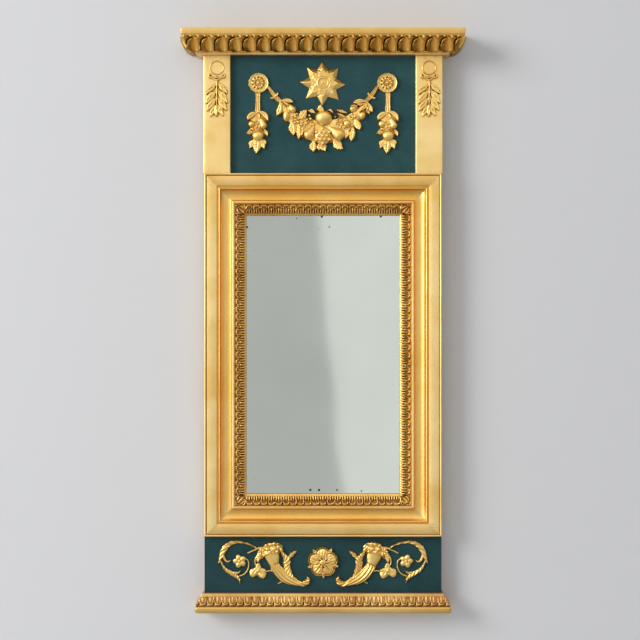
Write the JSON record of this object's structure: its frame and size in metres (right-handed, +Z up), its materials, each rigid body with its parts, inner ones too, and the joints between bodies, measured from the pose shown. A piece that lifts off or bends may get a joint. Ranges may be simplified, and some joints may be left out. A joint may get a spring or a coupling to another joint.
{
  "type": "trumeau mirror",
  "caption": "Tall wall mirror with a corniced upper field of relief ornaments, a moulded gilt frame round the glass, a lower ornamented field and a plinth.",
  "frame": {"origin": "the point on the wall where the hook carries the hanging loop turned up, on the mirror's centre line", "axes": "+X to the right of a person facing the mirror, +Y into the wall (the wall is the plane Y = 0 and the mirror faces -Y), +Z up"},
  "size_m": [0.45, 0.0655, 0.929],
  "materials": {
    "gilding": "water gilding over red bole, burnished and worn",
    "cast_gilding": "gilt composition, burnished on the high points",
    "teal_paint": "matt dark teal paint",
    "pine": "old bare pine",
    "silvered_glass": "old silvering with dark specks",
    "iron": "dark forged iron"
  },
  "bodies": {
    "mirror": {"left_stile": "pine", "right_stile": "pine", "top_rail": "pine", "middle_rail": "pine", "bottom_rail": "pine", "foot_rail": "pine", "cornice_core": "pine", "base_core": "pine", "backboard_upper": "pine", "backboard_lower": "pine", "glazing_block_left_upper": "pine", "glazing_block_left_lower": "pine", "glazing_block_right_upper": "pine", "glazing_block_right_lower": "pine", "glazing_block_top": "pine", "glazing_block_bottom": "pine", "upper_panel": "teal_paint", "lower_panel": "teal_paint", "left_pilaster": "gilding", "right_pilaster": "gilding", "frame_top": "gilding", "frame_bottom": "gilding", "frame_left": "gilding", "frame_right": "gilding", "cornice_front": "gilding", "cornice_left_return": "gilding", "cornice_right_return": "gilding", "cornice_top_board": "gilding", "plinth_board": "gilding", "base_front": "gilding", "base_left_return": "gilding", "base_right_return": "gilding", "egg_run_front": "gilding", "egg_run_left": "gilding", "egg_run_right": "gilding", "leaf_run_top": "gilding", "leaf_run_bottom": "gilding", "leaf_run_left": "gilding", "leaf_run_right": "gilding", "star": "cast_gilding", "garland": "cast_gilding", "left_rosette": "cast_gilding", "right_rosette": "cast_gilding", "lower_rosette": "cast_gilding", "left_pendant": "cast_gilding", "right_pendant": "cast_gilding", "left_leaf_drop": "cast_gilding", "right_leaf_drop": "cast_gilding", "left_horn_of_plenty": "cast_gilding", "right_horn_of_plenty": "cast_gilding", "mirror_glass": "silvered_glass", "hanger_plate": "iron", "hanger_screw_left": "iron", "hanger_screw_right": "iron", "backboard_nail_left_upper": "iron", "backboard_nail_left_lower": "iron", "backboard_nail_right_upper": "iron", "backboard_nail_right_lower": "iron"},
    "loop": {"hanger_loop": "iron"}
  },
  "joints": [
    {"name": "loop_swing", "type": "hinge", "parent": "mirror", "child": "loop", "pos_m": [0, -0.0046, -0.018], "axis": [1, 0, 0], "range_deg": [0, 180]}
  ]
}
